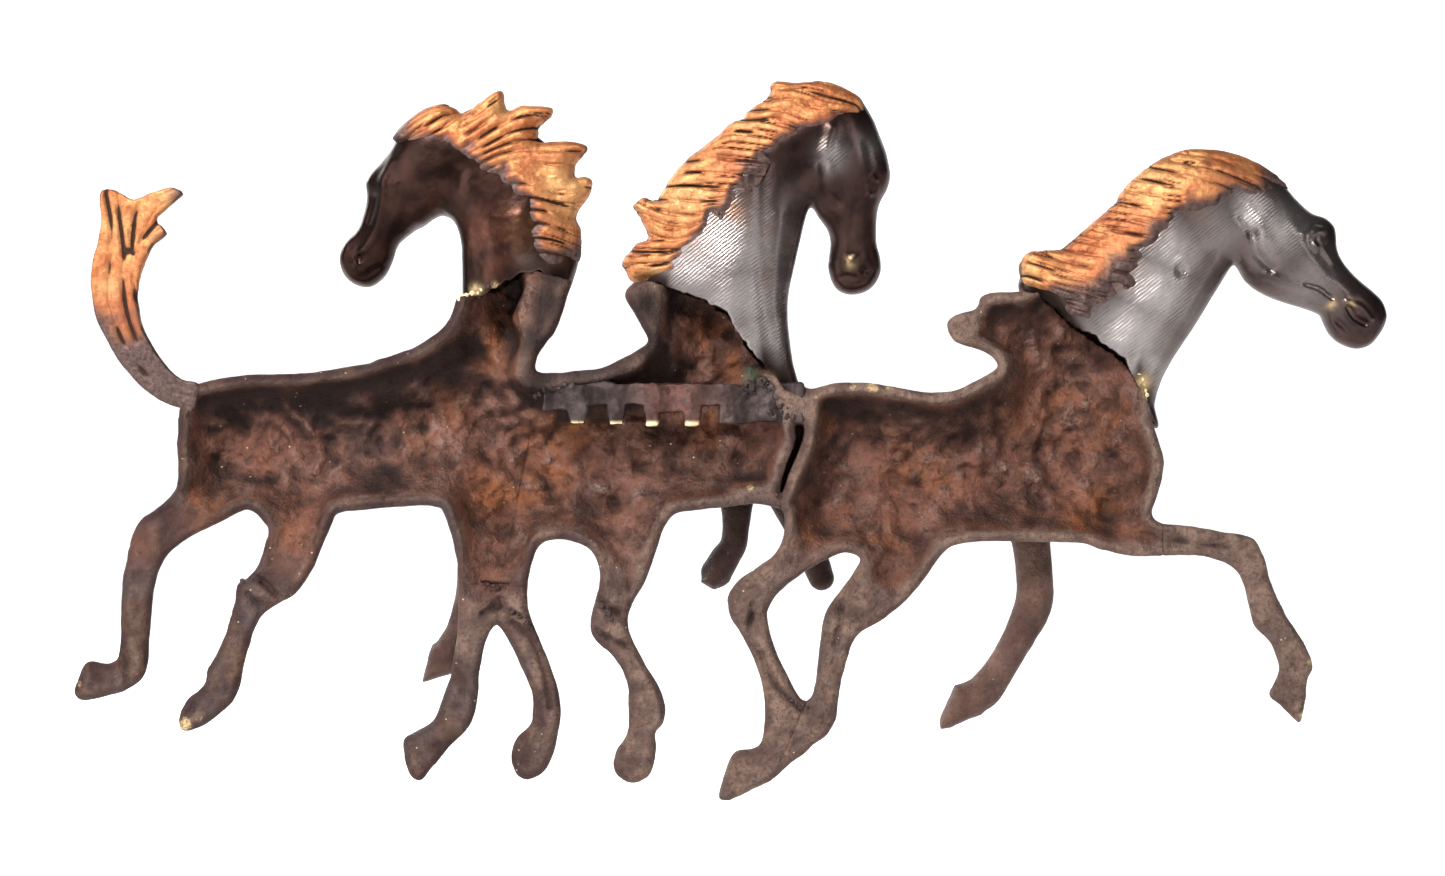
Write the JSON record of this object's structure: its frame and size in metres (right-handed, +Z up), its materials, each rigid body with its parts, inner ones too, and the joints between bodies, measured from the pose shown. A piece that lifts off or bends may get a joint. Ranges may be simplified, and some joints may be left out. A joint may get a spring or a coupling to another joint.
{
  "type": "galloping horses wall hanging",
  "caption": "Bronze wall hanging of galloping horses: hollow half-relief bodies, full-round heads with gilt manes, and a toothed hanger bar at the back.",
  "frame": {"origin": "top of the nail notch in the hanger bar, on the wall plane", "axes": "+Z up as it hangs, +Y out of the back into the wall, +X towards the raised tail; the relief faces -Y"},
  "size_m": [0.4634, 0.0368, 0.2517],
  "materials": {
    "dark_bronze": "dark brown patina, rough as cast in the hollows",
    "satin_bronze": "grey-brown patina, rubbed to a satin sheen",
    "leg_bronze": "grey-brown patina, ground flat at the back",
    "gilt_bronze": "golden orange patina with dark cut lines",
    "bar_bronze": "grey patina, teeth worn bright"
  },
  "bodies": {
    "root": {"horse_1_body": "dark_bronze", "horse_1_head_neck": "satin_bronze", "horse_1_mane": "gilt_bronze", "horse_1_tail": "gilt_bronze", "horse_1_near_foreleg": "leg_bronze", "horse_1_far_foreleg": "leg_bronze", "horse_2_body": "dark_bronze", "horse_2_head_neck": "satin_bronze", "horse_2_mane": "gilt_bronze", "horse_2_rear_hind_leg": "leg_bronze", "horse_2_front_hind_leg": "leg_bronze", "horse_2_rear_foreleg": "leg_bronze", "horse_2_front_foreleg": "leg_bronze", "horse_3_body": "dark_bronze", "horse_3_head_neck": "satin_bronze", "horse_3_mane": "gilt_bronze", "horse_3_rear_hind_leg": "leg_bronze", "horse_3_front_hind_leg": "leg_bronze", "horse_3_near_foreleg": "leg_bronze", "horse_3_far_foreleg": "leg_bronze", "hanger_bar": "bar_bronze"}
  },
  "joints": []
}
